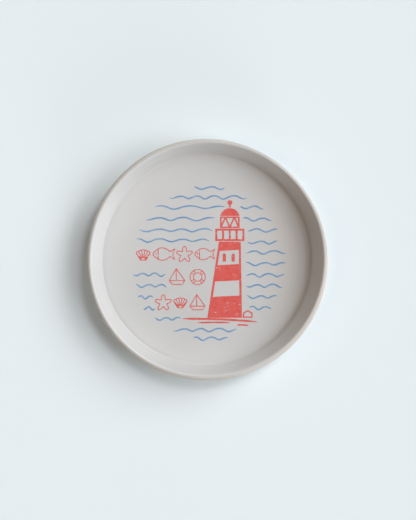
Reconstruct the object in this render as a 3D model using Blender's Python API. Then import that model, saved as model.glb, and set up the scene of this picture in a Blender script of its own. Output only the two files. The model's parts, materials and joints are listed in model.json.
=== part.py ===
"""A souvenir plate: glazed stoneware with a flat well, a steep wall, a rounded lip and a turned foot
ring. The well carries a seaside print in two enamels: blue wave strokes, a red banded lighthouse, and
red outlined sea ornaments beside it.

Metres, +Z up. The origin is the centre of the foot ring on the surface that the plate stands on.
+Y is the top of the picture, and +X is its right-hand side.
"""

from math import asin, atan2, ceil, cos, hypot, pi, radians, sin, tan

import bmesh
import bpy

# Plate
PLATE_DIAMETER = 0.203
PLATE_HEIGHT = 0.024
WELL_RADIUS = 0.0893  # where the well's floor and the wall's face would meet in a sharp corner
WELL_HEIGHT = 0.0070  # glazed floor of the well, above the table
COVE_RADIUS = 0.0030  # hollow corner between the floor and the wall
LIP_INNER_RADIUS = 0.0016  # the lip's crest rolls over more tightly towards the well
LIP_OUTER_RADIUS = 0.0028
OUTER_SLOPE = radians(60)  # outside of the wall, from the level
HEEL_RADIUS = 0.0070  # outer corner between the wall and the underside
FOOT_RADIUS = 0.0680  # outside of the foot ring
FOOT_WIDTH = 0.0050
FOOT_HEIGHT = 0.0025  # underside of the floor, above the table
FOOT_FILLET = 0.0012
SOLE_CHAMFER = 0.0005  # worn edges of the bare sole
GLAZE_LINE = 0.0010  # the glaze is wiped back to this height on the foot ring
GLAZE_THICKNESS = 0.0004
GAP = 0.0003  # between the faces of two pieces that touch
SEGMENTS = 64  # around the plate
TURNED_STEP = radians(31)  # largest turn between two points of a turned corner
SHARP_ANGLE = radians(40)

# Print
INK_THICKNESS = 0.00015
INK_HEIGHT = WELL_HEIGHT + GAP + INK_THICKNESS / 2  # middle of the film
WAVE_WIDTH = 0.0013
WAVE_RISE = 0.0014  # from a stroke's middle line to its crest
WAVE_LEAN = 0.12  # share of the rise that makes the crests rounder than the troughs
WAVE_DRIFT = 0.02  # how unevenly the crests are spaced, as a share of the stroke
WAVE_SWING = 0.2  # how unevenly they rise, as a share of the rise
WAVE_TURN = 2.2  # radians from where one stroke starts along its wave to where the next one does
STROKE_SWELL = 2.4  # how soon a brush stroke reaches its full width
STEPS_PER_CREST = 8
DRAWN_STEP = radians(15)  # largest turn between two points of a drawn arc
OUTLINE = 0.00072  # line width of the outlined ornaments
EYE_RADIUS = 0.0007

# Wave strokes: left end, right end, height in the picture, number of crests
WAVES = (
    (-0.0110, 0.0150, 0.0610, 1.6),
    (-0.0320, 0.0340, 0.0530, 4.3),
    (-0.0440, 0.0150, 0.0445, 2.4),
    (0.0280, 0.0480, 0.0445, 1.4),
    (-0.0520, 0.0065, 0.0346, 2.7),
    (0.0305, 0.0550, 0.0343, 1.7),
    (-0.0576, 0.0045, 0.0250, 3.1),
    (0.0345, 0.0600, 0.0250, 1.5),
    (-0.0600, 0.0020, 0.0164, 3.4),
    (0.0345, 0.0600, 0.0147, 1.7),
    (0.0335, 0.0670, 0.0062, 2.0),
    (0.0330, 0.0670, -0.0037, 2.2),
    (-0.0630, -0.0355, -0.0128, 2.5),
    (0.0335, 0.0660, -0.0134, 2.3),
    (-0.0610, -0.0345, -0.0224, 2.4),
    (0.0335, 0.0640, -0.0225, 2.2),
    (-0.0590, -0.0462, -0.0323, 1.6),
    (0.0340, 0.0600, -0.0320, 2.1),
    (-0.0544, -0.0448, -0.0417, 1.3),
    (0.0360, 0.0550, -0.0414, 1.7),
    (-0.0447, -0.0226, -0.0508, 2.1),
    (-0.0287, 0.0254, -0.0604, 3.5),
    (-0.0120, 0.0180, -0.0678, 2.3),
)

# Lighthouse: the tower leans a little, and what stands on it follows its top
TOWER_FOOT = (0.0151, -0.0500)  # middle of the base line
TOWER_HEAD = (0.0194, 0.0152)  # middle of the top line
TOWER_FOOT_WIDTH = 0.0296
TOWER_HEAD_WIDTH = 0.0186
TOWER_WALL = 0.0018  # red line down each side of a bare band
BARE_BANDS = ((0.285, 0.485), (0.700, 0.885))  # share of the tower's height, low and high
BAND_TILT = 0.0005  # the band edges climb a little to the right
WINDOW_WIDTH = 0.0028
WINDOW_HEIGHT = 0.0070
WINDOW_SPACING = 0.0076
DRAWN_GAP = 0.0005  # bare line left between neighbouring red shapes
GALLERY_WIDTH = 0.0248
GALLERY_HEIGHT = 0.0106
GALLERY_LINE = 0.0017
GALLERY_BAYS = 4
LANTERN_WIDTH = 0.0166
LANTERN_HEIGHT = 0.0098
LANTERN_LINE = 0.0013
LANTERN_SLANTS = 4  # slanting bars between the sill and the head
DOME_HEIGHT = 0.0066
FINIAL_RADIUS = 0.0021
FINIAL_STEM = 0.0012

# Shore under the tower
SHORE_ENDS = ((-0.0210, -0.0508), (0.0430, -0.0534))
SHORE_WIDTH = 0.0018
RIPPLES = (((-0.0085, -0.0543), (0.0200, -0.0541)), ((0.0256, -0.0562), (0.0355, -0.0566)))
RIPPLE_WIDTH = 0.0013
COTTAGE_LEFT = 0.0312
COTTAGE_WIDTH = 0.0072
COTTAGE_EAVES = 0.0034
COTTAGE_RIDGE = 0.0056
COTTAGE_LINE = 0.0011

# Outlined ornaments at the left of the tower: shape, middle in the picture, width
ORNAMENTS = (
    ("shell", (-0.0544, 0.0044), 0.0128),
    ("fish", (-0.0368, 0.0046), 0.0184),
    ("starfish", (-0.0192, 0.0042), 0.0140),
    ("fish", (-0.0020, 0.0046), 0.0168),
    ("boat", (-0.0256, -0.0152), 0.0132),
    ("lifebelt", (-0.0080, -0.0150), 0.0138),
    ("starfish", (-0.0374, -0.0372), 0.0140),
    ("shell", (-0.0228, -0.0366), 0.0124),
    ("boat", (-0.0082, -0.0372), 0.0128),
)

# Materials: colour, roughness
MATERIALS = {
    "fired_clay": ((0.48, 0.38, 0.29), 0.85),
    "satin_glaze": ((0.60, 0.59, 0.57), 0.35),
    "blue_enamel": ((0.13, 0.28, 0.48), 0.45),
    "red_enamel": ((0.67, 0.11, 0.10), 0.45),
}


def clear_scene():
    for obj in list(bpy.data.objects):
        bpy.data.objects.remove(obj, do_unlink=True)


def make_material(name):
    colour, roughness = MATERIALS[name]
    material = bpy.data.materials.new(name)
    material.use_nodes = True
    shader = material.node_tree.nodes["Principled BSDF"]
    shader.inputs["Base Color"].default_value = (*colour, 1.0)
    shader.inputs["Roughness"].default_value = roughness
    shader.inputs["Metallic"].default_value = 0.0
    return material


def link(name, data, material):
    data.materials.append(material)
    obj = bpy.data.objects.new(name, data)
    bpy.context.scene.collection.objects.link(obj)
    return obj


# Outlines in a plane: lists of (x, y), or of (radius, height) for a turned profile


def arc(centre, radius, start, end, step=DRAWN_STEP):
    """Points along a circle, both ends included."""
    steps = max(1, ceil(abs(end - start) / step))
    angles = [start + (end - start) * i / steps for i in range(steps + 1)]
    return [(centre[0] + radius * cos(a), centre[1] + radius * sin(a)) for a in angles]


def direction(a, b):
    length = hypot(b[0] - a[0], b[1] - a[1])
    return ((b[0] - a[0]) / length, (b[1] - a[1]) / length)


def fillet(before, corner, after, radius):
    """The rounded corner that touches both of its sides."""
    into = direction(before, corner)
    out = direction(corner, after)
    turn = atan2(into[0] * out[1] - into[1] * out[0], into[0] * out[0] + into[1] * out[1])
    side = 1 if turn > 0 else -1  # left turn or right turn
    reach = radius * tan(abs(turn) / 2)
    start = (corner[0] - into[0] * reach, corner[1] - into[1] * reach)
    centre = (start[0] - side * into[1] * radius, start[1] + side * into[0] * radius)
    first = atan2(start[1] - centre[1], start[0] - centre[0])
    return arc(centre, radius, first, first + turn, TURNED_STEP)


def offset(points, depth, closed=False):
    """The outline moved by depth to the right of its own direction, with mitred corners."""
    count = len(points)
    moved = []
    for i, point in enumerate(points):
        sides = []
        if closed or i > 0:
            sides.append(direction(points[i - 1], point))
        if closed or i < count - 1:
            sides.append(direction(point, points[(i + 1) % count]))
        x = sum(side[1] for side in sides) / len(sides)
        y = -sum(side[0] for side in sides) / len(sides)
        scale = depth / (x * x + y * y)
        moved.append((point[0] + x * scale, point[1] + y * scale))
    return moved


def grown(loop, distance):
    """The closed loop with its sides moved outwards, or inwards for a negative distance."""
    twice_area = sum(a[0] * b[1] - b[0] * a[1] for a, b in zip(loop, loop[1:] + loop[:1]))
    return offset(loop, distance if twice_area > 0 else -distance, closed=True)


# The plate: turned profiles


def face_profile():
    """Glazed surface from the well's centre over the lip and down the outside to the glaze line."""
    crest_radius = PLATE_DIAMETER / 2 - LIP_OUTER_RADIUS
    inner_lip = (crest_radius, PLATE_HEIGHT - LIP_INNER_RADIUS)
    outer_lip = (crest_radius, PLATE_HEIGHT - LIP_OUTER_RADIUS)
    corner = (WELL_RADIUS, WELL_HEIGHT)
    rise = (inner_lip[0] - corner[0], inner_lip[1] - corner[1])
    inner_slope = atan2(rise[1], rise[0]) + asin(LIP_INNER_RADIUS / hypot(*rise))
    lip_arc = [
        *arc(inner_lip, LIP_INNER_RADIUS, inner_slope + pi / 2, pi / 2, TURNED_STEP)[:-1],
        *arc(outer_lip, LIP_OUTER_RADIUS, pi / 2, 0, TURNED_STEP)[:-1],
        *arc(outer_lip, LIP_OUTER_RADIUS, 0, OUTER_SLOPE - pi / 2, TURNED_STEP),
    ]
    outer = lip_arc[-1]
    heel = (outer[0] - (outer[1] - FOOT_HEIGHT) / tan(OUTER_SLOPE), FOOT_HEIGHT)
    foot_top = (FOOT_RADIUS, FOOT_HEIGHT)
    foot_end = (FOOT_RADIUS, GLAZE_LINE)
    centre = (0.0, WELL_HEIGHT)
    return [
        centre,
        *fillet(centre, corner, lip_arc[0], COVE_RADIUS),
        *lip_arc,
        *fillet(outer, heel, foot_top, HEEL_RADIUS),
        *fillet(heel, foot_top, foot_end, FOOT_FILLET),
        foot_end,
    ]


def base_profile():
    """Glazed surface of the recess inside the foot ring, from the glaze line to the centre."""
    inner = FOOT_RADIUS - FOOT_WIDTH
    foot_end = (inner, GLAZE_LINE)
    foot_top = (inner, FOOT_HEIGHT)
    centre = (0.0, FOOT_HEIGHT)
    return [foot_end, *fillet(foot_end, foot_top, centre, FOOT_FILLET), centre]


def body_profile():
    """The clay under both glazes, with the bare sole of the foot ring between them."""
    depth = GLAZE_THICKNESS + GAP
    outer = FOOT_RADIUS - depth
    inner = FOOT_RADIUS - FOOT_WIDTH + depth
    sole = [
        (outer, SOLE_CHAMFER),
        (outer - SOLE_CHAMFER, 0.0),
        (inner + SOLE_CHAMFER, 0.0),
        (inner, SOLE_CHAMFER),
    ]
    return [*offset(face_profile(), depth), *sole, *offset(base_profile(), depth)]


def skin_profile(surface):
    """A glaze layer: its visible surface, and back along its face against the clay."""
    return [*surface, *reversed(offset(surface, GLAZE_THICKNESS))]


def revolve(name, profile, material):
    """Turns a closed profile about the vertical axis. A point on the axis becomes one pole."""
    bm = bmesh.new()
    rings = []
    for radius, height in profile:
        if radius < GAP / 10:
            rings.append([bm.verts.new((0, 0, height))] * SEGMENTS)
            continue
        angles = [2 * pi * i / SEGMENTS for i in range(SEGMENTS)]
        rings.append([bm.verts.new((radius * cos(a), radius * sin(a), height)) for a in angles])
    for near, far in zip(rings, rings[1:] + rings[:1]):
        for i in range(SEGMENTS):
            j = (i + 1) % SEGMENTS
            corners = dict.fromkeys((near[i], near[j], far[j], far[i]))
            if len(corners) > 2:
                bm.faces.new(corners)
    bmesh.ops.recalc_face_normals(bm, faces=bm.faces)
    mesh = bpy.data.meshes.new(name)
    bm.to_mesh(mesh)
    bm.free()
    mesh.shade_smooth()
    mesh.set_sharp_from_angle(angle=SHARP_ANGLE)
    return link(name, mesh, material)


# The print: thin films of enamel with a drawn outline and, where the drawing is open, holes


def film(name, loops, material):
    """A film from its outer loop and its holes, filled between them."""
    curve = bpy.data.curves.new(name, "CURVE")
    curve.dimensions = "2D"
    curve.fill_mode = "BOTH"
    curve.extrude = INK_THICKNESS / 2
    for loop in loops:
        spline = curve.splines.new("POLY")
        spline.points.add(len(loop) - 1)
        for point, (x, y) in zip(spline.points, loop):
            point.co = (x, y, 0, 1)
        spline.use_cyclic_u = True
    obj = link(name, curve, material)
    obj.location.z = INK_HEIGHT
    return obj


def brushed(line, width, blunt=0.35):
    """A brush stroke's loop along a line: full width in the middle, and blunt times that at its ends."""
    last = len(line) - 1
    sides = ([], [])
    for i, point in enumerate(line):
        along = direction(line[max(i - 1, 0)], line[min(i + 1, last)])
        half = width / 2 * min(1, blunt + STROKE_SWELL * sin(pi * i / last))
        sides[0].append((point[0] - along[1] * half, point[1] + along[0] * half))
        sides[1].append((point[0] + along[1] * half, point[1] - along[0] * half))
    return sides[0] + sides[1][::-1]


def straight(start, end, sag, steps):
    """A nearly straight drawn line that bows by sag at its middle."""
    shares = [i / steps for i in range(steps + 1)]
    return [
        (
            start[0] + (end[0] - start[0]) * share,
            start[1] + (end[1] - start[1]) * share + sag * sin(pi * share),
        )
        for share in shares
    ]


def wave_line(left, right, height, crests, turn):
    """The middle line of a wave stroke. turn sets where it starts and how its hand-drawn rise varies."""
    steps = ceil(crests * STEPS_PER_CREST)
    line = []
    for i in range(steps + 1):
        share = i / steps
        phase = 2 * pi * crests * (share + WAVE_DRIFT * sin(2 * pi * share + turn)) + turn
        rise = WAVE_RISE * (0.85 + WAVE_SWING * sin(5 * share + turn))
        lean = WAVE_LEAN * cos(2 * phase + 0.4)
        line.append((left + (right - left) * share, height + rise * (sin(phase) + lean)))
    return line


def add_waves(material):
    for number, (left, right, height, crests) in enumerate(WAVES, start=1):
        line = wave_line(left, right, height, crests, turn=WAVE_TURN * number)
        film(f"wave_{number:02d}", [brushed(line, WAVE_WIDTH)], material)


def drawn(outline, openings, line):
    """Loops for shapes drawn with a line along the outline and round each opening inside it."""
    return [grown(outline, line / 2), *(grown(opening, -line / 2) for opening in openings)]


def band(low, high, inset, tilt=0.0):
    """A slice of the tower between two shares of its height, pulled in from its sides."""
    corners = []
    for share, side in ((low, -1), (low, 1), (high, 1), (high, -1)):
        middle = TOWER_FOOT[0] + (TOWER_HEAD[0] - TOWER_FOOT[0]) * share
        width = TOWER_FOOT_WIDTH + (TOWER_HEAD_WIDTH - TOWER_FOOT_WIDTH) * share
        y = TOWER_FOOT[1] + (TOWER_HEAD[1] - TOWER_FOOT[1]) * share
        corners.append((middle + side * (width / 2 - inset), y + side * tilt))
    return corners


def arched(x, bottom):
    """A round-headed window with its sill at bottom."""
    half = WINDOW_WIDTH / 2
    head = arc((x, bottom + WINDOW_HEIGHT - half), half, 0, pi)
    return [(x - half, bottom), (x + half, bottom), *head]


def add_tower(material):
    """The tower as two bare bands framed in red, with two windows in the upper one."""
    holes = [band(low, high, TOWER_WALL, BAND_TILT) for low, high in BARE_BANDS]
    film("lighthouse_tower", [band(0, 1, 0), *holes], material)
    corners = holes[1]
    x = sum(corner[0] for corner in corners) / 4
    bottom = sum(corner[1] for corner in corners) / 4 - WINDOW_HEIGHT / 2
    film("tower_window_1", [arched(x - WINDOW_SPACING / 2, bottom)], material)
    film("tower_window_2", [arched(x + WINDOW_SPACING / 2, bottom)], material)


def box_loop(left, right, low, high):
    return [(left, low), (right, low), (right, high), (left, high)]


def add_gallery(material):
    """The walk round the tower's head: two rails and upright posts. Gives the height of its top."""
    left = TOWER_HEAD[0] - GALLERY_WIDTH / 2 + GALLERY_LINE / 2
    right = TOWER_HEAD[0] + GALLERY_WIDTH / 2 - GALLERY_LINE / 2
    low = TOWER_HEAD[1] + DRAWN_GAP + GALLERY_LINE / 2
    high = low + GALLERY_HEIGHT - GALLERY_LINE
    bay = (right - left) / GALLERY_BAYS
    starts = [left + i * bay for i in range(GALLERY_BAYS)]
    bays = [box_loop(start, start + bay, low, high) for start in starts]
    film("lighthouse_gallery", drawn(box_loop(left, right, low, high), bays, GALLERY_LINE), material)
    return high + GALLERY_LINE / 2


def add_lantern(material, gallery_top):
    """The glazed lamp room: a frame with a zigzag of slanting bars. Gives the height of its top."""
    left = TOWER_HEAD[0] - LANTERN_WIDTH / 2 + LANTERN_LINE / 2
    right = TOWER_HEAD[0] + LANTERN_WIDTH / 2 - LANTERN_LINE / 2
    low = gallery_top + DRAWN_GAP + LANTERN_LINE / 2
    high = low + LANTERN_HEIGHT - LANTERN_LINE
    run = (right - left) / LANTERN_SLANTS
    zigzag = [(left + i * run, high if i % 2 else low) for i in range(LANTERN_SLANTS + 1)]
    corners = [(left, high), *zigzag, (right, high)]
    panes = [corners[i : i + 3] for i in range(len(corners) - 2)]
    film("lighthouse_lantern", drawn(box_loop(left, right, low, high), panes, LANTERN_LINE), material)
    return high + LANTERN_LINE / 2


def add_dome(material, lantern_top):
    """A domed roof drawn as a flat arch, with a ball finial on a stem above it."""
    x, low = TOWER_HEAD[0], lantern_top + DRAWN_GAP
    half = LANTERN_WIDTH / 2
    radius = (half * half + DOME_HEIGHT * DOME_HEIGHT) / (2 * DOME_HEIGHT)
    centre = (x, low + DOME_HEIGHT - radius)
    spread = asin(half / radius)
    film("lighthouse_dome", [arc(centre, radius, pi / 2 - spread, pi / 2 + spread)], material)
    bottom = low + DOME_HEIGHT + DRAWN_GAP
    ball = (x, bottom + 2 * FINIAL_RADIUS)
    neck = asin(FINIAL_STEM / 2 / FINIAL_RADIUS)
    stem = [(x - FINIAL_STEM / 2, bottom), (x + FINIAL_STEM / 2, bottom)]
    loop = [*stem, *arc(ball, FINIAL_RADIUS, neck - pi / 2, 3 * pi / 2 - neck)]
    film("lighthouse_finial", [loop], material)


def add_shore(material):
    line = straight(*SHORE_ENDS, sag=0.0008, steps=12)
    film("shore_line", [brushed(line, SHORE_WIDTH, blunt=0.2)], material)
    for number, ends in enumerate(RIPPLES, start=1):
        line = straight(*ends, sag=0.0003, steps=6)
        film(f"shore_ripple_{number}", [brushed(line, RIPPLE_WIDTH, blunt=0.2)], material)


def add_cottage(material):
    """The keeper's cottage: a gabled outline on the shore beside the tower."""
    left, right = COTTAGE_LEFT, COTTAGE_LEFT + COTTAGE_WIDTH
    low = TOWER_FOOT[1] + COTTAGE_LINE / 2
    eaves, ridge = low + COTTAGE_EAVES, low + COTTAGE_RIDGE
    wall = [(left, low), (right, low), (right, eaves), ((left + right) / 2, ridge), (left, eaves)]
    film("keepers_cottage", drawn(wall, [wall], COTTAGE_LINE), material)


# Outlined ornaments: each function gives the outline and the openings, about (0, 0), of a shape of
# the given width


def starfish(width):
    steps, arms = 50, 5
    mean, swing = 0.36 * width, 0.14 * width
    loop = []
    for i in range(steps):
        angle = 2 * pi * i / steps
        radius = mean + swing * cos(arms * angle)
        loop.append((-radius * sin(angle), radius * cos(angle)))
    return loop, [loop]


def fish(width):
    """A fish swimming left, with a line behind its head."""
    steps, gill = 10, 3
    nose, body, height = -0.5 * width, 0.78 * width, 0.29 * width
    back = []
    for i in range(steps + 1):
        share = i / steps
        back.append((nose + body * share, height * sin(pi * (0.02 + 0.88 * share)) ** 0.8))
    belly = [(x, -y) for x, y in reversed(back)]
    tail = [(0.5 * width, 0.24 * width), (0.42 * width, 0), (0.5 * width, -0.24 * width)]
    head = [*back[: gill + 1], *belly[-gill - 1 :]]
    flank = [*back[gill:], *tail, *belly[: steps - gill + 1]]
    return [*back, *tail, *belly], [head, flank]


def shell(width):
    """A scallop: a fan of ribs with a lobed edge, above a small hinge."""
    ribs, lobe_steps = 5, 5
    spread = radians(46)
    reach = 0.5 * width / sin(spread)
    drop = 0.56 * reach  # the ribs meet this far below the middle
    near = 0.25 * reach

    def rim(step):
        share = step / (ribs * lobe_steps)
        angle = spread * (1 - 2 * share)
        radius = reach * (0.92 + 0.08 * abs(sin(ribs * pi * share)))
        return (radius * sin(angle), radius * cos(angle) - drop)

    def root(rib):
        angle = spread * (1 - 2 * rib / ribs)
        return (near * sin(angle), near * cos(angle) - drop)

    edge = [rim(step) for step in range(ribs * lobe_steps + 1)]
    hinge = [(-0.17 * width, -drop), (0.17 * width, -drop)]
    openings = [[*hinge, *(root(rib) for rib in range(ribs + 1))]]
    for rib in range(ribs):
        lobe = edge[rib * lobe_steps : (rib + 1) * lobe_steps + 1]
        openings.append([*lobe, root(rib + 1), root(rib)])
    return [*edge, *hinge], openings


def boat(width):
    """A sailing boat: a hull, and a mainsail and a jib that share the mast's line."""
    deck, keel, masthead = -0.22 * width, -0.46 * width, 0.56 * width
    bow, stern, mast = -0.5 * width, 0.5 * width, -0.05 * width
    hull = [(0.62 * bow, keel), (0.68 * stern, keel), (stern, deck), (mast, deck), (bow, deck)]
    mainsail = [(mast, deck), (stern, deck), (mast, masthead)]
    jib = [(bow, deck), (mast, deck), (mast, masthead)]
    return [*hull[:3], (mast, masthead), hull[4]], [hull, mainsail, jib]


def lifebelt(width):
    """A lifebelt: two circles, and four bands between them."""
    outer, inner, band_turn = 0.47 * width, 0.26 * width, radians(24)
    openings = [arc((0, 0), inner, 0, 2 * pi)[:-1]]
    for i in range(4):
        quarter = pi / 4 + i * pi / 2
        turns = (quarter - band_turn / 2, quarter + band_turn / 2, quarter + pi / 2 - band_turn / 2)
        for first, last in zip(turns, turns[1:]):
            far, near = arc((0, 0), outer, first, last), arc((0, 0), inner, last, first)
            openings.append([*far, *near])
    return arc((0, 0), outer, 0, 2 * pi)[:-1], openings


def add_ornaments(material):
    shapes = {"starfish": starfish, "fish": fish, "shell": shell, "boat": boat, "lifebelt": lifebelt}
    for number, (shape, place, width) in enumerate(ORNAMENTS, start=1):
        loops = drawn(*shapes[shape](width), OUTLINE)
        moved = [[(x + place[0], y + place[1]) for x, y in loop] for loop in loops]
        film(f"ornament_{number}_{shape}", moved, material)
        if shape == "fish":
            eye = (place[0] - 0.37 * width, place[1] + 0.03 * width)
            film(f"ornament_{number}_eye", [arc(eye, EYE_RADIUS, 0, 2 * pi, radians(45))[:-1]], material)


def build():
    clear_scene()
    clay, glaze, blue, red = (make_material(name) for name in MATERIALS)
    revolve("stoneware_body", body_profile(), clay)
    revolve("face_glaze", skin_profile(face_profile()), glaze)
    revolve("base_glaze", skin_profile(base_profile()), glaze)
    add_waves(blue)
    add_tower(red)
    gallery_top = add_gallery(red)
    lantern_top = add_lantern(red, gallery_top)
    add_dome(red, lantern_top)
    add_shore(red)
    add_cottage(red)
    add_ornaments(red)


build()
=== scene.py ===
"""The souvenir plate's looks: a satin glazed stoneware plate on a pale table, with its enamel print.

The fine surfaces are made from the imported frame: a turned piece is turned again from its own section,
and a printed film is drawn again from its own outline. Metres, +Z up, +Y the top of the picture.
"""

import json
from math import atan2, ceil, cos, dist, exp, hypot, pi, radians, sin

import bmesh
import bpy
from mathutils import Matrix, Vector, noise


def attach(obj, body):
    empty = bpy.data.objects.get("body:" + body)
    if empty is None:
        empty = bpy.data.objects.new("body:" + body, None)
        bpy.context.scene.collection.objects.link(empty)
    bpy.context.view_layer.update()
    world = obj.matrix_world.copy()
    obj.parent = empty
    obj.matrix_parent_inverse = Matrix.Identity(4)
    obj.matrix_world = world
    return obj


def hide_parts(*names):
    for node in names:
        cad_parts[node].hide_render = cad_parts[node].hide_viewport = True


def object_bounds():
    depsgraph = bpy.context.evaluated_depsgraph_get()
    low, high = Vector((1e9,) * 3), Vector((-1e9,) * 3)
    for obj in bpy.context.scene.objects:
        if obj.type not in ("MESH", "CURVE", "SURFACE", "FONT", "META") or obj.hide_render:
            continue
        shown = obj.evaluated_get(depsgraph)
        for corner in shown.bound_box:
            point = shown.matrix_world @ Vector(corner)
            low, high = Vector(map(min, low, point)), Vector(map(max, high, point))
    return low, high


# Outlines
DECIMALS = 6  # the frame's points are read to a micrometre
NEAR = 1e-5  # points as near as this to a line or a level lie on it
CORNER_TURN = radians(40)  # a sharper turn than this in an outline is a real corner
CORNER_STEPS = 4
CORNER_SHARE = 0.4  # the most that a rounded corner takes of a side

# Turned pieces
SEGMENTS = 288
PROFILE_SPACING = 0.0016
PROFILE_STEPS = 4  # least number of steps along one side of a section
TURNED_EDGE = 0.00015  # radius on a fired edge
COVE_REACH = 0.0020  # from the floor's edge to the corner that the cove rounds
OVAL = 0.0004  # hand-made run-out of the rim, as a two-sided and a three-sided part
OVAL_TURN = radians(112)
TRIANGLE = 0.00025
TRIANGLE_TURN = radians(105)
SWAY = 0.00015  # rise and fall of the rim
SWAY_PHASE = 0.7
STILL_RADIUS = 0.072  # inside this radius the plate is truly round
LEAN = 0.00056  # how far the lip's crest lies to one side of the outer rim
LEAN_TURN = radians(65)
LEAN_OVAL = 0.00045  # and how far it is out of round
LEAN_OVAL_TURN = radians(33)
LEAN_DEPTH = 0.0040  # this shift and the next die out this far behind the wall's inner face
WELL_SHIFT = 0.0015  # how far the foot of the wall's inner face lies to one side of the foot ring
WELL_SHIFT_TURN = radians(195)
WELL_OVAL = 0.0010  # and how far it is out of round
WELL_OVAL_TURN = radians(60)
DISH_RADIUS = 0.0550  # outside this radius the floor rises a little towards the wall
DISH_RISE = 0.0013
DISH_DEPTH = 0.0030  # the rise, and the shift of the wall's foot, die out this far below the floor
DISH_REACH = 0.0080  # the rise dies out this far beyond the floor's edge
COVE_FILL = 0.0004  # glaze pooled in the cove rounds it more on one side
COVE_FILL_TURN = radians(240)
COVE_FILL_REACH = 0.0045
GLAZE_EDGE_TOP = 0.0024  # below this height the glaze's edge on the foot ring wanders
GLAZE_EDGE_WANDER = 0.00035
GLAZE_EDGE_SCALE = 9  # noise cells across half of the foot ring
GLAZE_EDGE_FINER = 3.1  # a second, finer wander is half as strong
CLAY_SWELL = 0.00028  # carries the clay out to the back of the glaze, which is fused to it

# Printed films
FILM_LIFT = 0.00001
FILM_THICKNESS = 0.00004
FILM_SPACING = 0.0003
FILM_CORNER = 0.00022
FILM_WELD = 1e-6
HAND_SHAKE = 0.00013
BRUSH_SHAKE = 0.00008  # for the long wave strokes
SHAKE_SCALE = 450  # noise cells in a metre
SHAKE_FINER = 2.7  # a second, finer shake is half as strong
SHAKE_APART = (Vector((7, 3, 5)), Vector((1, 9, 4)))  # keeps the shakes along Y apart from those along X

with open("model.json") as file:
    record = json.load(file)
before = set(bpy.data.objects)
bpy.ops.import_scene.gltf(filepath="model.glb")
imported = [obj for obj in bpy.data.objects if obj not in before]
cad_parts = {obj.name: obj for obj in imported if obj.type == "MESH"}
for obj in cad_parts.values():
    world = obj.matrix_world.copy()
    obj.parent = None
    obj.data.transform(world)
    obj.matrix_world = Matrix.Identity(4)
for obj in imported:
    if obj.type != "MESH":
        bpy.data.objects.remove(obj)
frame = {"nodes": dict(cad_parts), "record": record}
nodes = frame["nodes"]
cad_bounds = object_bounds()
rim_radius = cad_bounds[1][0]
rim_height = cad_bounds[1][2]


# Outlines


def direction(a, b):
    """The unit vector from a to b."""
    length = dist(a, b)
    return ((b[0] - a[0]) / length, (b[1] - a[1]) / length)


def turn_at(into, out):
    """The angle between two directions, anticlockwise."""
    return atan2(into[0] * out[1] - into[1] * out[0], into[0] * out[0] + into[1] * out[1])


def softened(points, closed, radius):
    """The outline with each of its real corners rounded off."""
    count = len(points)
    soft = []
    for i, point in enumerate(points):
        before, after = points[i - 1], points[(i + 1) % count]
        is_end = not closed and i in (0, count - 1)
        if is_end or abs(turn_at(direction(before, point), direction(point, after))) < CORNER_TURN:
            soft.append(point)
            continue
        reach_in = min(radius / dist(before, point), CORNER_SHARE)
        reach_out = min(radius / dist(point, after), CORNER_SHARE)
        for k in range(CORNER_STEPS + 1):
            t = k / CORNER_STEPS
            a = reach_in * (1 - t) ** 2
            b = reach_out * t**2
            soft.append(tuple(p + a * (q - p) + b * (r - p) for p, q, r in zip(point, before, after)))
    return soft


def refined(points, closed, spacing, least):
    """The outline as smooth curves through its points, which keeps its real corners."""
    count = len(points)
    sides = count if closed else count - 1
    lengths = [dist(points[i], points[(i + 1) % count]) for i in range(sides)]
    along = [direction(points[i], points[(i + 1) % count]) for i in range(sides)]

    def tangents(i):
        """The way into point i and the way out of it."""
        if not closed and i in (0, count - 1):
            return along[min(i, sides - 1)], along[min(i, sides - 1)]
        into, out = along[i - 1], along[i % sides]
        if abs(turn_at(into, out)) > CORNER_TURN:
            return into, out
        a, b = lengths[i - 1], lengths[i % sides]
        mean = direction((0, 0), (into[0] * a + out[0] * b, into[1] * a + out[1] * b))
        return mean, mean

    fine = []
    for i in range(sides):
        j = (i + 1) % count
        leave, arrive = tangents(i)[1], tangents(j)[0]
        steps = max(least, ceil(lengths[i] / spacing))
        for k in range(steps):
            t = k / steps
            a = 2 * t**3 - 3 * t**2 + 1
            b = -2 * t**3 + 3 * t**2
            c = (t**3 - 2 * t**2 + t) * lengths[i]
            d = (t**3 - t**2) * lengths[i]
            ends = zip(points[i], points[j], leave, arrive)
            fine.append(tuple(a * p + b * q + c * u + d * v for p, q, u, v in ends))
    if not closed:
        fine.append(points[-1])
    return fine


# Turned pieces


def section(node):
    """The node's outline in the half plane at +X, from the axis above to the axis below."""
    mesh = nodes[node].data
    keys = [tuple(round(c, DECIMALS) for c in v.co) for v in mesh.vertices]
    next_to = {}
    for edge in mesh.edges:
        a, b = (keys[i] for i in edge.vertices)
        if a != b and all(abs(p[1]) < NEAR and p[0] > -NEAR for p in (a, b)):
            next_to.setdefault(a, set()).add(b)
            next_to.setdefault(b, set()).add(a)
    ends = sorted((p for p in next_to if len(next_to[p]) == 1), key=lambda p: p[2])
    path = [ends[1]]
    while path[-1] != ends[0]:
        path.append(next(p for p in next_to[path[-1]] if p not in path[-2:]))
    outline = [(p[0], p[2]) for p in path]
    return [(0.0, outline[0][1]), *outline, (0.0, outline[-1][1])]


face_section = section("face_glaze")
well_height = face_section[0][1]
cove_radius = max(radius for radius, height in face_section if height == well_height)
cove_corner = cove_radius + COVE_REACH  # where the floor and the wall would meet
crest_radius = max(face_section, key=lambda point: point[1])[0]


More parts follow.
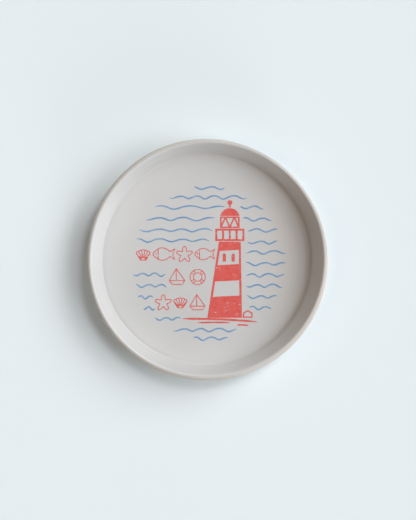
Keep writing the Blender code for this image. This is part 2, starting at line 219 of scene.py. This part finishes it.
def swollen(profile, depth):
    """The section with its surface moved outwards, and nothing below the table."""
    moved = []
    for i, (radius, height) in enumerate(profile):
        along = direction(profile[max(i - 1, 0)], profile[min(i + 1, len(profile) - 1)])
        moved.append((max(0.0, radius - along[1] * depth), max(0.0, height + along[0] * depth)))
    return moved


def eased(value, start, end):
    """A smooth step from 0 at start to 1 at end."""
    share = min(1.0, max(0.0, (value - start) / (end - start)))
    return share * share * (3 - 2 * share)


def above_floor(height):
    """1 on the floor's upper side and above it, 0 on its underside."""
    return eased(height, well_height - DISH_DEPTH, well_height)


def wall_shift(radius, height, angle):
    """How far outwards the wall's inner face lies: it has one shift at its foot, another at its crest."""
    climbed = min(1.0, max(0.0, (height - well_height) / (rim_height - well_height)))
    inner_face = cove_corner + (crest_radius - cove_corner) * climbed
    behind = 1 - eased(radius - inner_face, 0.0, LEAN_DEPTH)
    crest = LEAN * cos(angle - LEAN_TURN) + LEAN_OVAL * cos(2 * (angle - LEAN_OVAL_TURN))
    foot = WELL_SHIFT * cos(angle - WELL_SHIFT_TURN) + WELL_OVAL * cos(2 * (angle - WELL_OVAL_TURN))
    shift = crest * eased(climbed, 0, 1) + foot * (1 - climbed) * above_floor(height)
    return shift * behind * eased(radius, STILL_RADIUS, cove_radius)


def floor_rise(radius):
    """How far the floor's upper side has risen at this radius."""
    share = max(0.0, (radius - DISH_RADIUS) / (cove_radius - DISH_RADIUS))
    return DISH_RISE * min(1.0, share) ** 2


def dished(radius, height):
    """The floor's rise at a point of the section: none on the underside, and none up on the wall."""
    on_wall = eased(radius, cove_radius, cove_radius + DISH_REACH)
    return floor_rise(radius) * above_floor(height) * (1 - on_wall)


def cove_fill(radius, height, angle):
    """How far the cove's surface lies in front of the true one, up and inwards alike."""
    away = hypot(radius - cove_corner, height - well_height) / COVE_FILL_REACH
    return COVE_FILL * exp(-away * away) * max(0.0, cos(angle - COVE_FILL_TURN)) ** 2


def thrown(radius, height, angle):
    """Where a point of the true section really lies, on a plate finished by hand."""
    share = eased(radius, STILL_RADIUS, rim_radius)
    out = OVAL * cos(2 * (angle - OVAL_TURN)) + TRIANGLE * cos(3 * (angle - TRIANGLE_TURN))
    up = SWAY * sin(2 * angle + SWAY_PHASE) * eased(height, 0, rim_height / 2)
    fill = cove_fill(radius, height, angle)
    moved = radius + out * share + wall_shift(radius, height, angle) - fill
    return moved, height + up * share + dished(radius, height) + fill


def wandering_edge(height, angle):
    """The rise and fall of the glaze's wiped edge on the foot ring."""
    place = Vector((cos(angle), sin(angle), 0)) * GLAZE_EDGE_SCALE
    wander = GLAZE_EDGE_WANDER * (noise.noise(place) + 0.5 * noise.noise(place * GLAZE_EDGE_FINER))
    return wander * (1 - eased(height, 0, GLAZE_EDGE_TOP))


def turned(name, profile, node, material, is_glaze):
    """A piece turned finely from its section, in place of the node."""
    outline = refined(softened(profile, False, TURNED_EDGE), False, PROFILE_SPACING, PROFILE_STEPS)
    bm = bmesh.new()
    rings = []
    for radius, height in outline:
        if radius < NEAR:
            rings.append([bm.verts.new((0, 0, height))] * SEGMENTS)
            continue
        ring = []
        for i in range(SEGMENTS):
            angle = 2 * pi * i / SEGMENTS
            r, z = thrown(radius, height, angle)
            if is_glaze:
                z += wandering_edge(height, angle)
            ring.append(bm.verts.new((r * cos(angle), r * sin(angle), max(0.0, z))))
        rings.append(ring)
    for near, far in zip(rings, rings[1:]):
        for i in range(SEGMENTS):
            j = (i + 1) % SEGMENTS
            corners = dict.fromkeys((near[i], near[j], far[j], far[i]))
            if len(corners) > 2:
                bm.faces.new(corners)
    bmesh.ops.recalc_face_normals(bm, faces=bm.faces)
    mesh = bpy.data.meshes.new(name)
    bm.to_mesh(mesh)
    bm.free()
    mesh.shade_smooth()
    return placed(name, mesh, node, material)


def placed(name, mesh, node, material):
    """The mesh as a piece that rides on the plate and stands for the node."""
    mesh.materials.clear()
    mesh.materials.append(material)
    obj = bpy.data.objects.new(name, mesh)
    bpy.context.scene.collection.objects.link(obj)
    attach(obj, "root")
    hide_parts(node)
    return obj


# Printed films


def top_loops(node):
    """The closed outlines of the node's upper face: the outer one and its holes."""
    mesh = nodes[node].data
    top = max(v.co.z for v in mesh.vertices)
    keys = [(round(v.co.x, DECIMALS), round(v.co.y, DECIMALS)) for v in mesh.vertices]
    sides = set()
    for polygon in mesh.polygons:
        if all(mesh.vertices[i].co.z > top - NEAR for i in polygon.vertices):
            corners = [keys[i] for i in polygon.vertices]
            sides.update(zip(corners, corners[1:] + corners[:1]))
    following = {a: b for a, b in sides if (b, a) not in sides}
    loops = []
    while following:
        start = min(following)
        loop, point = [start], following.pop(start)
        while point != start:
            loop.append(point)
            point = following.pop(point)
        loops.append(loop)
    return loops


def shaken(point, shake):
    """A drawn point moved as an unsteady hand would."""
    coarse = Vector((point[0], point[1], 0)) * SHAKE_SCALE
    fine = coarse * SHAKE_FINER
    x = noise.noise(coarse) + 0.5 * noise.noise(fine)
    y = noise.noise(coarse + SHAKE_APART[0]) + 0.5 * noise.noise(fine + SHAKE_APART[1])
    return (point[0] + shake * x, point[1] + shake * y)


def film(node, material, shake):
    """The node's drawing as a thin film of enamel, which lies on the glaze."""
    curve = bpy.data.curves.new(node, "CURVE")
    curve.dimensions = "2D"
    curve.fill_mode = "BOTH"
    curve.extrude = FILM_THICKNESS / 2
    for loop in top_loops(node):
        outline = refined(softened(loop, True, FILM_CORNER), True, FILM_SPACING, 1)
        fine = [shaken(point, shake) for point in outline]
        spline = curve.splines.new("POLY")
        spline.points.add(len(fine) - 1)
        for spline_point, (x, y) in zip(spline.points, fine):
            spline_point.co = (x, y, 0, 1)
        spline.use_cyclic_u = True
    guide = bpy.data.objects.new("guide", curve)
    bpy.context.scene.collection.objects.link(guide)
    bpy.context.view_layer.update()
    mesh = bpy.data.meshes.new_from_object(guide.evaluated_get(bpy.context.evaluated_depsgraph_get()))
    bpy.data.objects.remove(guide)
    bm = bmesh.new()
    bm.from_mesh(mesh)
    bmesh.ops.remove_doubles(bm, verts=bm.verts, dist=FILM_WELD)
    bmesh.ops.translate(bm, verts=bm.verts, vec=(0, 0, well_height + FILM_LIFT + FILM_THICKNESS / 2))
    for vertex in bm.verts:
        vertex.co.z += floor_rise(hypot(vertex.co.x, vertex.co.y))
    bmesh.ops.recalc_face_normals(bm, faces=bm.faces)
    bm.to_mesh(mesh)
    bm.free()
    return placed("printed_" + node, mesh, node, material)


# Materials

# Colours
GLAZE = (0.600, 0.594, 0.582)
# glaze pooled in the cove, and painted shade in the cove, most on one side
GLAZE_POOL_AND_SHADE = (0.500, 0.455, 0.405)
# thinner, browner glaze on the lip's outer half, with painted shade there
GLAZE_LIP_AND_SHADE = (0.510, 0.460, 0.400)
GLAZE_BREAK_AND_SHADE = (0.400, 0.310, 0.225)  # where the clay shows through; on the rim's shoulder it is painted shade as well
CLAY = (0.480, 0.380, 0.290)
CLAY_DARK = (0.300, 0.220, 0.160)
CLAY_PALE = (0.620, 0.540, 0.440)
RED = (0.740, 0.115, 0.098)
RED_DEEP = (0.680, 0.085, 0.073)
RED_THIN = (0.740, 0.250, 0.215)
BLUE = (0.120, 0.285, 0.500)
BLUE_THIN = (0.215, 0.360, 0.530)
TABLE = (0.800, 0.865, 0.880)

# Tints, which multiply the glaze's colour: all of them are painted shade
WALL_SHADE = (0.875, 0.870, 0.860)  # painted shade, low on the wall's inner face on one side
CREST_SHADE = (0.860, 0.865, 0.875)  # painted shade, which dims the lip's crest on one side
# painted warm shade, towards the side where the inner wall is in shade
WARM_SHADE = (0.970, 0.905, 0.850)
DISH_SHADE = (0.900, 0.905, 0.910)  # painted shade, in the dish on one side

# Roughness: least and most
GLAZE_ROUGH = (0.36, 0.44)
CLAY_ROUGH = (0.78, 0.94)
RED_ROUGH = (0.40, 0.50)
BLUE_ROUGH = (0.40, 0.48)
TABLE_ROUGH = (0.85, 0.92)

# The sides of the plate where the glaze differs and where shade is painted, as turns from +X
SHADE_TURN = radians(215)
CREST_SHADE_TURN = radians(40)
WARM_SHADE_TURN = radians(8)
DISH_SHADE_TURN = radians(-20)

# A stretch has two ends. A share grows from 0 at the first to 1 at the second, or between two limits
# that follow them.
# Towards a side, in parts of the rim's radius:
WALL_SHADE_SIDE = (0.50, 0.88)
CREST_SHADE_SIDE = (0.72, 0.90)
WARM_SHADE_SIDE = (0.35, 0.90)
DISH_SHADE_SIDE = (0.45, 0.80)
POOL_SHADE_SIDE = (0.28, 0.70, 0.15, 1.0)
LIP_SHADE_SIDE = (0.0, 1.0, 0.45, 1.0)
SHOULDER_SHADE_SIDE = (-0.2, 0.8, 0.75, 1.4)
# Heights, above the table unless it says otherwise:
IN_DISH = (0.0130, 0.0085)
ON_FOOT = (0.0026, 0.0010)
WALL_SHADE_START = (0.0012, 0.0019)  # from the floor, as the next
WALL_SHADE_FADE = (0.0030, 0.0050, 1.0, 0.72)
ON_LIP = (-0.0070, -0.0040)  # from the rim, as the next two
BELOW_CREST = (-0.0006, -0.0022)
ABOVE_WALL = (-0.0060, -0.0035)
# Radii, and distances along them:
INSIDE_CREST = (-0.0006, -0.0020)  # from the lip's crest, as the next two
OUTSIDE_CREST = (-0.0006, 0.0016)
TO_CREST = (-0.0016, -0.0004)
AT_SHOULDER = (-0.0011, 0.0)  # from the rim
POOL_MIDDLE = 0.0010  # beyond the floor's edge
POOL_REACH = (0.0055, 0.0)  # from the pool's middle
# Values of a noise:
CLOUD_MIDDLE = (0.3, 0.7)  # most of them lie between these
GLAZE_PATCHES = (0.25, 0.65, 0.35, 1.0)
HATCHED = (0.48, 0.66, 0.0, 0.22)
STREAKED = (0.61, 0.66)
STREAKS_LIE = (0.52, 0.60)
BLUE_LOAD = (0.38, 0.66)
BLUE_GRAIN = (0.35, 0.65)

DOT_CORE = 0.4  # a speck is solid out to this part of its radius
TURNING_LINE = 0.00042  # from one fine line on the clay to the next
HATCH_SCALE = (120.0, 1500.0, 1.0)  # the red brush's strokes run along X
STREAK_SCALE = (210.0, 1250.0, 1.0)
PALE_SCALE = (1.0, 1.0, 1.2)  # the pale grog is a little flatter than the dark


def add(tree, kind, inputs, **settings):
    """A new shader node with its settings made, and each input set to a value or linked to a socket."""
    new = tree.nodes.new("ShaderNode" + kind)
    for name, value in settings.items():
        setattr(new, name, value)
    for key, value in inputs.items():
        if isinstance(value, bpy.types.NodeSocket):
            tree.links.new(value, new.inputs[key])
        else:
            new.inputs[key].default_value = value
    return new


def maths(tree, operation, *values):
    """The result of one arithmetic step on numbers and sockets."""
    inputs = dict(enumerate(values))
    return add(tree, "Math", inputs, operation=operation).outputs[0]


def product(tree, first, *others):
    """Shares multiplied together."""
    for other in others:
        first = maths(tree, "MULTIPLY", first, other)
    return first


def mapped(tree, value, start, end, low=0.0, high=1.0):
    """The value's stretch from start to end carried over to low to high, and held there beyond it."""
    inputs = {"Value": value, "From Min": start, "From Max": end, "To Min": low, "To Max": high}
    return add(tree, "MapRange", inputs).outputs["Result"]


def over(tree, value, stretch, origin=0.0):
    """As mapped, with the stretch's two ends counted from the origin."""
    start, end, *limits = stretch
    return mapped(tree, value, origin + start, origin + end, *limits)


def by_side(tree, place, turn, stretch):
    """As mapped, towards the side of the plate at this turn; the two ends are parts of the rim's radius."""
    start, end, *limits = stretch
    side = (cos(turn), sin(turn), 0.0)
    along = add(tree, "VectorMath", {0: place, 1: side}, operation="DOT_PRODUCT").outputs["Value"]
    return mapped(tree, along, start * rim_radius, end * rim_radius, *limits)


def mixed(tree, share, first, second, blend="MIX"):
    """Two colours mixed by a share."""
    inputs = {0: share, 6: opaque(first), 7: opaque(second)}
    return add(tree, "Mix", inputs, data_type="RGBA", blend_type=blend).outputs[2]


def opaque(colour):
    return (*colour, 1.0) if isinstance(colour, tuple) else colour


def shaded(colour, factor):
    """A colour made darker or paler."""
    return tuple(part * factor for part in colour)


def cloud(tree, place, scale, detail=2.0, distortion=0.0):
    """Soft noise about 0.5, with patches about 1 / scale metres across."""
    inputs = {"Vector": place, "Scale": scale, "Detail": detail, "Distortion": distortion}
    return add(tree, "TexNoise", inputs).outputs["Fac"]


def patches(tree, place, scale, detail, limits=(0.0, 1.0)):
    """A cloud with most of its values spread out between two limits."""
    return mapped(tree, cloud(tree, place, scale, detail), *CLOUD_MIDDLE, *limits)


def stretched(tree, place, scale):
    """The place with each axis scaled by its own number."""
    return add(tree, "Mapping", {"Vector": place, "Scale": scale}).outputs["Vector"]


def dots(tree, place, scale, radius, kept):
    """Round specks: one cell in every 1 / scale metres, of which a share is kept, and the rest blank."""
    cells = add(tree, "TexVoronoi", {"Vector": place, "Scale": scale})
    inside = mapped(tree, cells.outputs["Distance"], radius, radius * DOT_CORE)
    choice = add(tree, "SeparateColor", {0: cells.outputs["Color"]}).outputs[0]
    return product(tree, inside, maths(tree, "LESS_THAN", choice, kept))


def place_of(tree):
    """The shaded point, in metres."""
    return add(tree, "TexCoord", {}).outputs["Object"]


def radius_of(tree, place):
    """The point's distance from the plate's axis."""
    flat = add(tree, "VectorMath", {0: place, 1: (1.0, 1.0, 0.0)}, operation="MULTIPLY").outputs[0]
    return add(tree, "VectorMath", {0: flat}, operation="LENGTH").outputs["Value"]


def height_of(tree, place):
    return add(tree, "SeparateXYZ", {0: place}).outputs["Z"]


def bump(tree, layers):
    """Bumps laid on each other: each layer is a height between 0 and 1, and its depth in metres."""
    normal = None
    for height, depth in layers:
        inputs = {"Height": height, "Distance": depth, "Strength": 1.0}
        if normal:
            inputs["Normal"] = normal
        normal = add(tree, "Bump", inputs).outputs["Normal"]
    return normal


def new_material(name):
    """A material, with its node tree and its shader."""
    material = bpy.data.materials.new(name)
    material.use_nodes = True
    return material, material.node_tree, material.node_tree.nodes["Principled BSDF"]


def dress(tree, shader, colour, roughness, normal):
    tree.links.new(colour, shader.inputs["Base Color"])
    tree.links.new(roughness, shader.inputs["Roughness"])
    tree.links.new(normal, shader.inputs["Normal"])


def dish_layers(tree, place, radius, height, in_dish):
    """The glaze is pooled in the cove, with painted shade there that is strongest on one side, and painted
    shade lies low on the wall's inner face towards another side.
    """
    from_middle = maths(tree, "ABSOLUTE", maths(tree, "SUBTRACT", radius, cove_radius + POOL_MIDDLE))
    in_cove = over(tree, from_middle, POOL_REACH)
    # painted shade in the cove, strongest on the side where the wall shades the floor
    pool_and_shade = product(tree, in_cove, in_dish, by_side(tree, place, WARM_SHADE_TURN, POOL_SHADE_SIDE))
    on_wall = over(tree, height, WALL_SHADE_START, well_height)
    inside = over(tree, radius, INSIDE_CREST, crest_radius)
    wall_shade_side = by_side(tree, place, SHADE_TURN, WALL_SHADE_SIDE)
    # painted shade low on the wall's inner face, towards one side
    wall_shade = product(tree, on_wall, inside, wall_shade_side, over(tree, height, WALL_SHADE_FADE, well_height))
    return [(pool_and_shade, GLAZE_POOL_AND_SHADE, "MIX"), (wall_shade, WALL_SHADE, "MULTIPLY")]


def lip_layers(tree, place, radius, height, patchy):
    """The glaze is thinner and browner on the lip's outer half and broken below it, with painted shade in
    both that grows towards one side, and painted shade dims the crest on another side.
    """
    on_lip = over(tree, height, ON_LIP, rim_height)
    outer = over(tree, radius, OUTSIDE_CREST, crest_radius)
    # the lip's outer half is browner, and painted shade grows towards the side away from the light
    rolled_and_shaded = product(tree, outer, on_lip, by_side(tree, place, SHADE_TURN, LIP_SHADE_SIDE))
    crest = over(tree, radius, TO_CREST, crest_radius)
    # painted shade dims the lip's crest towards one side
    crest_shade = product(tree, crest, on_lip, by_side(tree, place, CREST_SHADE_TURN, CREST_SHADE_SIDE))
    shoulder = over(tree, radius, AT_SHOULDER, rim_radius)
    below_crest = over(tree, height, BELOW_CREST, rim_height)
    above_wall = over(tree, height, ABOVE_WALL, rim_height)
    shoulder_shade_side = by_side(tree, place, SHADE_TURN, SHOULDER_SHADE_SIDE)
    # a broken brown line on the rim's shoulder, also painted shade, strongest on the side away from the
    # light
    shoulder_break_and_shade = product(tree, shoulder, below_crest, patchy, above_wall, shoulder_shade_side)
    shoulder_break_and_shade = maths(tree, "MINIMUM", shoulder_break_and_shade, 1.0)
    return [(rolled_and_shaded, GLAZE_LIP_AND_SHADE, "MIX"), (crest_shade, CREST_SHADE, "MULTIPLY"), (shoulder_break_and_shade, GLAZE_BREAK_AND_SHADE, "MIX")]


def satin_glaze():
    """Off-white satin glaze: pooled in the cove, thinner and browner over the lip, broken at the foot.

    Painted shade lies in the cove, over the lip, on its shoulder and low on the wall towards some sides;
    warm painted shade lies on one side, with darker painted shade in the dish there.
    """
    material, tree, shader = new_material("satin_glaze")
    place = place_of(tree)
    radius = radius_of(tree, place)
    height = height_of(tree, place)
    in_dish = over(tree, height, IN_DISH)
    patchy = over(tree, cloud(tree, place, scale=55, detail=3), GLAZE_PATCHES)
    foot = product(tree, over(tree, height, ON_FOOT), patchy)
    # painted warm shade towards one side of the plate
    warm = by_side(tree, place, WARM_SHADE_TURN, WARM_SHADE_SIDE)
    # painted shade in the dish on one side, where the wall shades the floor
    dish_shade = product(tree, by_side(tree, place, DISH_SHADE_TURN, DISH_SHADE_SIDE), in_dish)
    specks = product(tree, dots(tree, place, scale=150, radius=0.035, kept=0.10), 0.45)
    layers = dish_layers(tree, place, radius, height, in_dish)
    layers += lip_layers(tree, place, radius, height, patchy)
    layers += [(foot, GLAZE_BREAK_AND_SHADE, "MIX"), (warm, WARM_SHADE, "MULTIPLY")]
    layers += [(dish_shade, DISH_SHADE, "MULTIPLY"), (specks, GLAZE_BREAK_AND_SHADE, "MIX")]
    drift = patches(tree, place, scale=22, detail=3)
    colour = mixed(tree, drift, shaded(GLAZE, 0.975), shaded(GLAZE, 1.02))
    for share, tint, blend in layers:
        colour = mixed(tree, share, colour, tint, blend)
    rough = patches(tree, place, scale=240, detail=3, limits=GLAZE_ROUGH)
    wave = {"Vector": place, "Scale": 34.0, "Distortion": 1.2, "Detail": 1.0, "Detail Scale": 6.0}
    rings = add(tree, "TexWave", wave, wave_type="RINGS", rings_direction="Z").outputs["Fac"]
    dimples = cloud(tree, place, scale=120)
    grain = cloud(tree, place, scale=900)
    normal = bump(tree, ((rings, 0.00001), (dimples, 0.00004), (grain, 0.000008), (specks, -0.00002)))
    dress(tree, shader, colour, rough, normal)
    return material


def fired_clay():
    """Bare buff stoneware on the foot: gritty, with dark and pale grog and fine turning lines."""
    material, tree, shader = new_material("fired_clay")
    place = place_of(tree)
    body = patches(tree, place, scale=60, detail=4)
    colour = mixed(tree, body, shaded(CLAY, 0.88), shaded(CLAY, 1.1))
    dark = dots(tree, place, scale=1300, radius=0.34, kept=0.22)
    pale = dots(tree, stretched(tree, place, PALE_SCALE), scale=1050, radius=0.30, kept=0.16)
    colour = mixed(tree, product(tree, dark, 0.7), colour, CLAY_DARK)
    colour = mixed(tree, product(tree, pale, 0.6), colour, CLAY_PALE)
    lines = maths(tree, "SINE", product(tree, radius_of(tree, place), 2 * pi / TURNING_LINE))
    grit = cloud(tree, place, scale=2600, detail=3)
    rough = mapped(tree, grit, *CLOUD_MIDDLE, *CLAY_ROUGH)
    normal = bump(tree, ((lines, 0.000012), (grit, 0.00006), (dark, -0.00003)))
    dress(tree, shader, colour, rough, normal)
    return material


def red_enamel():
    """Dense red enamel, with dry brush streaks where the glaze shows through."""
    material, tree, shader = new_material("red_enamel")
    place = place_of(tree)
    density = patches(tree, place, scale=320, detail=3)
    colour = mixed(tree, density, RED_DEEP, RED)
    hatch = cloud(tree, stretched(tree, place, HATCH_SCALE), scale=1, distortion=0.4)
    colour = mixed(tree, over(tree, hatch, HATCHED), colour, RED_THIN)
    streak = cloud(tree, stretched(tree, place, STREAK_SCALE), scale=1, detail=1, distortion=0.2)
    where = over(tree, cloud(tree, place, scale=170, detail=1), STREAKS_LIE)
    dry = product(tree, over(tree, streak, STREAKED), where)
    colour = mixed(tree, product(tree, dry, 0.75), colour, GLAZE)
    rough = mapped(tree, density, 0.0, 1.0, *RED_ROUGH)
    grain = cloud(tree, place, scale=1500)
    normal = bump(tree, ((hatch, 0.000012), (dry, -0.00002), (grain, 0.000006)))
    dress(tree, shader, colour, rough, normal)
    return material


def blue_enamel():
    """Blue enamel brushed on unevenly, thinner and paler in patches."""
    material, tree, shader = new_material("blue_enamel")
    place = place_of(tree)
    load = over(tree, cloud(tree, place, scale=150), BLUE_LOAD)
    colour = mixed(tree, load, BLUE, BLUE_THIN)
    dusty = over(tree, cloud(tree, place, scale=2200), BLUE_GRAIN)
    colour = mixed(tree, product(tree, dusty, 0.10), colour, GLAZE)
    rough = mapped(tree, load, 0.0, 1.0, *BLUE_ROUGH)
    grain = cloud(tree, place, scale=1500)
    normal = bump(tree, ((grain, 0.000008), (load, -0.00001)))
    dress(tree, shader, colour, rough, normal)
    return material


def table_paint():
    """Matt pale paint, almost even."""
    material, tree, shader = new_material("table_paint")
    place = place_of(tree)
    drift = patches(tree, place, scale=5, detail=2)
    colour = mixed(tree, drift, shaded(TABLE, 0.995), shaded(TABLE, 1.005))
    rough = patches(tree, place, scale=90, detail=2, limits=TABLE_ROUGH)
    normal = bump(tree, ((cloud(tree, place, scale=700), 0.00001),))
    dress(tree, shader, colour, rough, normal)
    return material


# The plate

glaze, clay, red, blue = satin_glaze(), fired_clay(), red_enamel(), blue_enamel()
turned("glazed_face", face_section, "face_glaze", glaze, True)
turned("glazed_base", section("base_glaze"), "base_glaze", glaze, True)
body_section = swollen(section("stoneware_body"), CLAY_SWELL)
turned("clay_body", body_section, "stoneware_body", clay, False)
for part in frame["record"]["subparts"]:
    if part["material_slot"] == "blue_enamel":
        film(part["node"], blue, BRUSH_SHAKE)
    elif part["material_slot"] == "red_enamel":
        film(part["node"], red, HAND_SHAKE)


# Stage

TABLE_REACH = 20.0
# Soft boxes: azimuth, elevation and width in degrees, and strength in red, green and blue
SUNS = {
    "key": (356, 38, 39, (1.31, 1.36, 1.43)),
    "side": (40, 30, 31, (1.64, 1.70, 1.71)),
    "top": (52, 57, 16, (0.73, 0.72, 0.76)),
    "low": (291, 7, 22, (1.04, 1.03, 1.04)),
    "warm": (187, 50, 26, (0.39, 0.32, 0.25)),
}
HAZE = (0.80, 0.86, 0.88)
HORIZON = (0.31, 0.30, 0.30)
ZENITH = (0.12, 0.12, 0.12)
HAZE_FADE = (0.02, 0.09)  # sines of the elevation
HORIZON_FADE = (0.12, 0.34)
CAMERA_HEIGHT = 1.0276  # above the rim
CAMERA_OFFSET = 0.070  # it hangs a little towards the top of the picture
CAMERA_AIM = (0.0008, 0.0007)  # the point at the rim's height that it looks at
LENS = 85  # millimetres, as the next
SENSOR_WIDTH = 36


def soft_sun(name, azimuth, elevation, spread, strength):
    """A large soft box, far away: a sun as wide as spread, in degrees. strength holds its three colours."""
    data = bpy.data.lights.new(name, "SUN")
    data.angle = radians(spread)
    data.energy = max(strength)
    data.color = tuple(part / max(strength) for part in strength)
    light = bpy.data.objects.new(name, data)
    a = radians(azimuth)
    e = radians(elevation)
    towards = Vector((cos(e) * cos(a), cos(e) * sin(a), sin(e)))
    light.rotation_euler = towards.to_track_quat("Z", "Y").to_euler()
    bpy.context.scene.collection.objects.link(light)


def add_world():
    """Dim light from all round, brighter near the horizon, where it meets the table's colour."""
    world = bpy.data.worlds.new("world")
    world.use_nodes = True
    tree = world.node_tree
    towards = add(tree, "TexCoord", {}).outputs["Generated"]
    elevation = height_of(tree, towards)
    sky = mixed(tree, mapped(tree, elevation, *HORIZON_FADE), HORIZON, ZENITH)
    sky = mixed(tree, mapped(tree, elevation, *HAZE_FADE), HAZE, sky)
    tree.links.new(sky, tree.nodes["Background"].inputs["Color"])
    bpy.context.scene.world = world


def add_table():
    """The table top that the plate stands on."""
    mesh = bpy.data.meshes.new("table_top")
    bm = bmesh.new()
    bmesh.ops.create_grid(bm, x_segments=1, y_segments=1, size=TABLE_REACH)
    bm.to_mesh(mesh)
    bm.free()
    mesh.materials.append(table_paint())
    table = bpy.data.objects.new("table_top", mesh)
    bpy.context.scene.collection.objects.link(table)


def add_camera():
    """The photographer's camera: nearly straight down, from a little towards the top of the picture."""
    data = bpy.data.cameras.new("camera")
    data.lens = LENS
    data.sensor_width = SENSOR_WIDTH
    camera = bpy.data.objects.new("camera", data)
    camera.location = (CAMERA_AIM[0], CAMERA_AIM[1] + CAMERA_OFFSET, rim_height + CAMERA_HEIGHT)
    camera.rotation_euler.x = -atan2(CAMERA_OFFSET, CAMERA_HEIGHT)
    bpy.context.scene.collection.objects.link(camera)
    bpy.context.scene.camera = camera
    bpy.context.scene.view_settings.view_transform = "Standard"


add_table()
for sun, (azimuth, elevation, spread, strength) in SUNS.items():
    soft_sun(sun, azimuth, elevation, spread, strength)
add_world()
add_camera()
